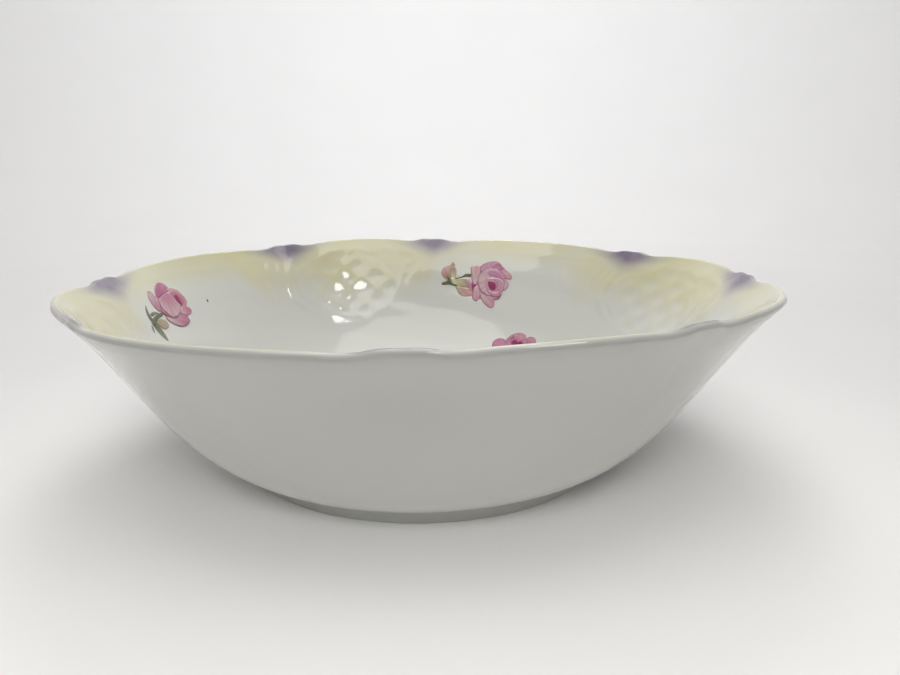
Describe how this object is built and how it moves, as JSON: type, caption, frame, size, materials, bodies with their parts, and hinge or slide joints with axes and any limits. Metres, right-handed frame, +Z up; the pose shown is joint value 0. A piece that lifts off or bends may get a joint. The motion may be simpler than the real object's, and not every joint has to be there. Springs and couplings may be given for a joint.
{
  "type": "serving bowl",
  "caption": "Round porcelain serving bowl with a scalloped rim, moulded trellis relief inside, a foot ring and printed rose sprays on the glaze.",
  "frame": {"origin": "middle of the plane that the foot ring rests on", "axes": "+Z up through the middle of the bowl; +X and +Y each pass through a lobe tip of the rim"},
  "size_m": [0.2246, 0.2246, 0.0643],
  "materials": {
    "porcelain_glaze": "gloss",
    "rose_print": "gloss"
  },
  "bodies": {
    "root": {"bowl_body": "porcelain_glaze", "rose_transfer_back_left": "rose_print", "rose_transfer_back_right": "rose_print", "rose_transfer_front_right": "rose_print", "rose_transfer_front_left": "rose_print", "rose_transfer_low_wall": "rose_print"}
  },
  "joints": []
}
